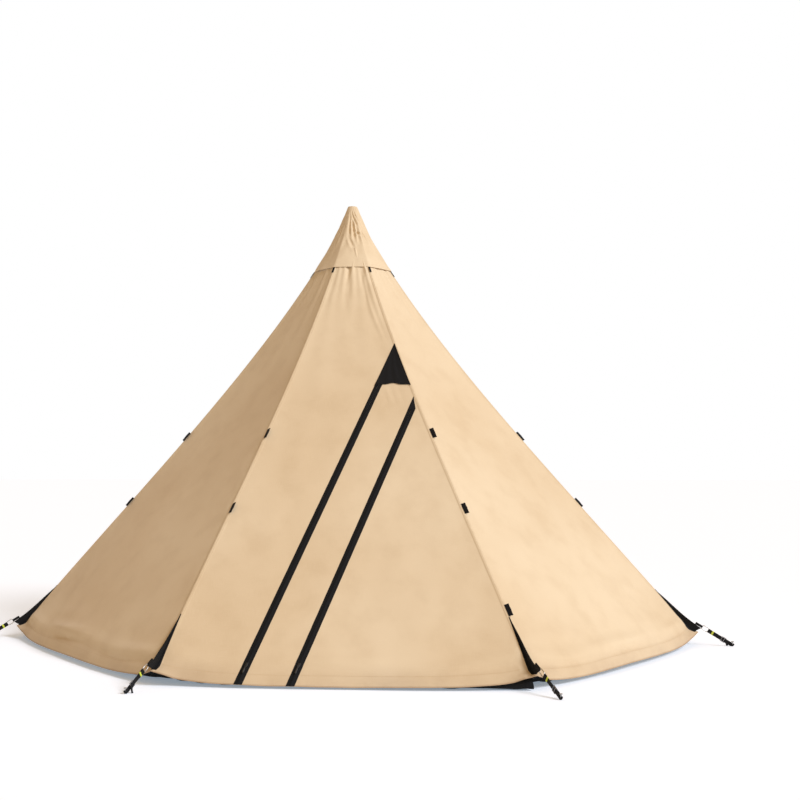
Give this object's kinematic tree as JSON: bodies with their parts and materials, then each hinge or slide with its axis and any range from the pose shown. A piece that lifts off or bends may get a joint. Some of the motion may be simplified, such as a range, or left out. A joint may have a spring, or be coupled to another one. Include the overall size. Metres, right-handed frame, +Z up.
{
  "type": "teepee tent",
  "caption": "Single-pole teepee tent with flat canvas panels, lifting vent cap, zipped front door, webbing corner tie-downs and a telescoping centre pole.",
  "frame": {"origin": "on the ground, on the axis of the centre pole, at the underside of the pole foot", "axes": "+Z up along the centre pole; the panel with the door faces -Y; +X is to the right when facing the door"},
  "size_m": [5.0982, 4.9709, 3.1],
  "materials": {
    "canvas": "tan cotton and polyester canvas, matt, fine weave",
    "cap_canvas": "the same tan canvas, unlined and creased",
    "black_webbing": "woven black webbing",
    "black_cordura": "coarse coated black nylon",
    "mud_flap_cloth": "dark coated polyester",
    "zip_tape": "black woven zip tape",
    "zip_coil": "black nylon coil",
    "zip_metal": "black lacquered slider",
    "pull_metal": "dull nickel",
    "ring_steel": "drawn steel wire, welded",
    "bright_mark": "bright woven marking thread",
    "buckle_metal": "dark coated ladder-lock buckle",
    "peg_steel": "galvanised steel",
    "pole_aluminium": "satin anodised tube",
    "black_plastic": "moulded nylon",
    "foot_rubber": "moulded rubber",
    "vent_netting": "fine black insect netting"
  },
  "bodies": {
    "root": {"front_panel": "canvas", "side_panel_1": "canvas", "side_panel_2": "canvas", "side_panel_3": "canvas", "side_panel_4": "canvas", "side_panel_5": "canvas", "side_panel_6": "canvas", "seam_webbings": "black_webbing", "hem_bands": "canvas", "mud_flaps": "mud_flap_cloth", "guy_loops_upper": "black_webbing", "guy_loops_lower": "black_webbing", "door_tie_loop": "black_webbing", "corner_fins": "black_cordura", "corner_rings": "ring_steel", "peg_straps": "black_webbing", "strap_marks": "bright_mark", "pegs": "peg_steel", "door_patch": "black_cordura", "zip_tape_frame": "zip_tape", "zip_coil_frame": "zip_coil", "zip_end_left": "zip_tape", "zip_end_right": "zip_tape", "hanger_straps": "black_webbing", "pole_head": "black_plastic", "pole_top_tube": "pole_aluminium", "pole_middle_tube": "pole_aluminium", "pole_ferrule": "pole_aluminium", "vent_net": "vent_netting"},
    "door_leaf": {"door_leaf": "canvas", "zip_tape_leaf": "zip_tape", "zip_coil_leaf": "zip_coil"},
    "door_strip": {"door_strip": "canvas", "zip_tape_strip_left": "zip_tape", "zip_tape_strip_right": "zip_tape", "zip_coil_strip_left": "zip_coil", "zip_coil_strip_right": "zip_coil"},
    "zip_slider_left": {"zip_slider_left": "zip_metal"},
    "zip_pull_left": {"zip_pull_left": "pull_metal"},
    "zip_slider_right": {"zip_slider_right": "zip_metal"},
    "zip_pull_right": {"zip_pull_right": "pull_metal"},
    "vent_cap": {"vent_cap": "cap_canvas", "cap_tabs": "black_webbing", "cap_post": "pole_aluminium"},
    "pole_lower": {"pole_lower_tube": "pole_aluminium", "pole_foot": "foot_rubber"},
    "pole_collar": {"pole_collar": "black_plastic"},
    "buckle_1": {"strap_buckle_1": "buckle_metal"},
    "buckle_2": {"strap_buckle_2": "buckle_metal"},
    "buckle_3": {"strap_buckle_3": "buckle_metal"},
    "buckle_4": {"strap_buckle_4": "buckle_metal"},
    "buckle_5": {"strap_buckle_5": "buckle_metal"},
    "buckle_6": {"strap_buckle_6": "buckle_metal"},
    "buckle_7": {"strap_buckle_7": "buckle_metal"}
  },
  "joints": [
    {"name": "door_leaf_swing", "type": "hinge", "parent": "root", "child": "door_leaf", "pos_m": [0.70873, -1.60338, 0.75554], "axis": [-0.284, 0.5897, 0.7561], "range_deg": [0, 110]},
    {"name": "door_strip_lift", "type": "hinge", "parent": "root", "child": "door_strip", "pos_m": [0.2604, -0.97314, 1.56542], "axis": [-1, 0, 0], "range_deg": [0, 95]},
    {"name": "zip_left_run", "type": "slide", "parent": "root", "child": "zip_slider_left", "axis": [0.3274, 0.5823, 0.7441], "range_m": [0, 1.787]},
    {"name": "zip_left_pull_swing", "type": "hinge", "parent": "zip_slider_left", "child": "zip_pull_left", "pos_m": [-0.52324, -2.1168, 0.11505], "axis": [-0.944, 0.2004, 0.2623], "range_deg": [0, 90]},
    {"name": "zip_right_run", "type": "slide", "parent": "door_leaf", "child": "zip_slider_right", "axis": [0.3274, 0.5823, 0.7441], "range_m": [0, 1.787]},
    {"name": "zip_right_pull_swing", "type": "hinge", "parent": "zip_slider_right", "child": "zip_pull_right", "pos_m": [-0.23724, -2.1168, 0.11505], "axis": [-0.944, 0.2004, 0.2623], "range_deg": [0, 90]},
    {"name": "vent_cap_lift", "type": "slide", "parent": "root", "child": "vent_cap", "axis": [0, 0, 1], "range_m": [0, 0.08]},
    {"name": "pole_foot_slide", "type": "slide", "parent": "root", "child": "pole_lower", "axis": [0, 0, 1], "range_m": [0, 0.6]},
    {"name": "pole_collar_twist", "type": "hinge", "parent": "root", "child": "pole_collar", "pos_m": [0, 0, 1.02], "axis": [0, 0, 1], "range_deg": [0, 90]},
    {"name": "strap_buckle_1_run", "type": "slide", "parent": "root", "child": "buckle_1", "axis": [0.3719, -0.7723, -0.515], "range_m": [-0.05, 0.03]},
    {"name": "strap_buckle_2_run", "type": "slide", "parent": "root", "child": "buckle_2", "axis": [0.8357, -0.1907, -0.515], "range_m": [-0.05, 0.03]},
    {"name": "strap_buckle_3_run", "type": "slide", "parent": "root", "child": "buckle_3", "axis": [0.6702, 0.5344, -0.515], "range_m": [-0.05, 0.03]},
    {"name": "strap_buckle_4_run", "type": "slide", "parent": "root", "child": "buckle_4", "axis": [0, 0.8572, -0.515], "range_m": [-0.05, 0.03]},
    {"name": "strap_buckle_5_run", "type": "slide", "parent": "root", "child": "buckle_5", "axis": [-0.6702, 0.5344, -0.515], "range_m": [-0.05, 0.03]},
    {"name": "strap_buckle_6_run", "type": "slide", "parent": "root", "child": "buckle_6", "axis": [-0.8357, -0.1907, -0.515], "range_m": [-0.05, 0.03]},
    {"name": "strap_buckle_7_run", "type": "slide", "parent": "root", "child": "buckle_7", "axis": [-0.3719, -0.7723, -0.515], "range_m": [-0.05, 0.03]}
  ]
}
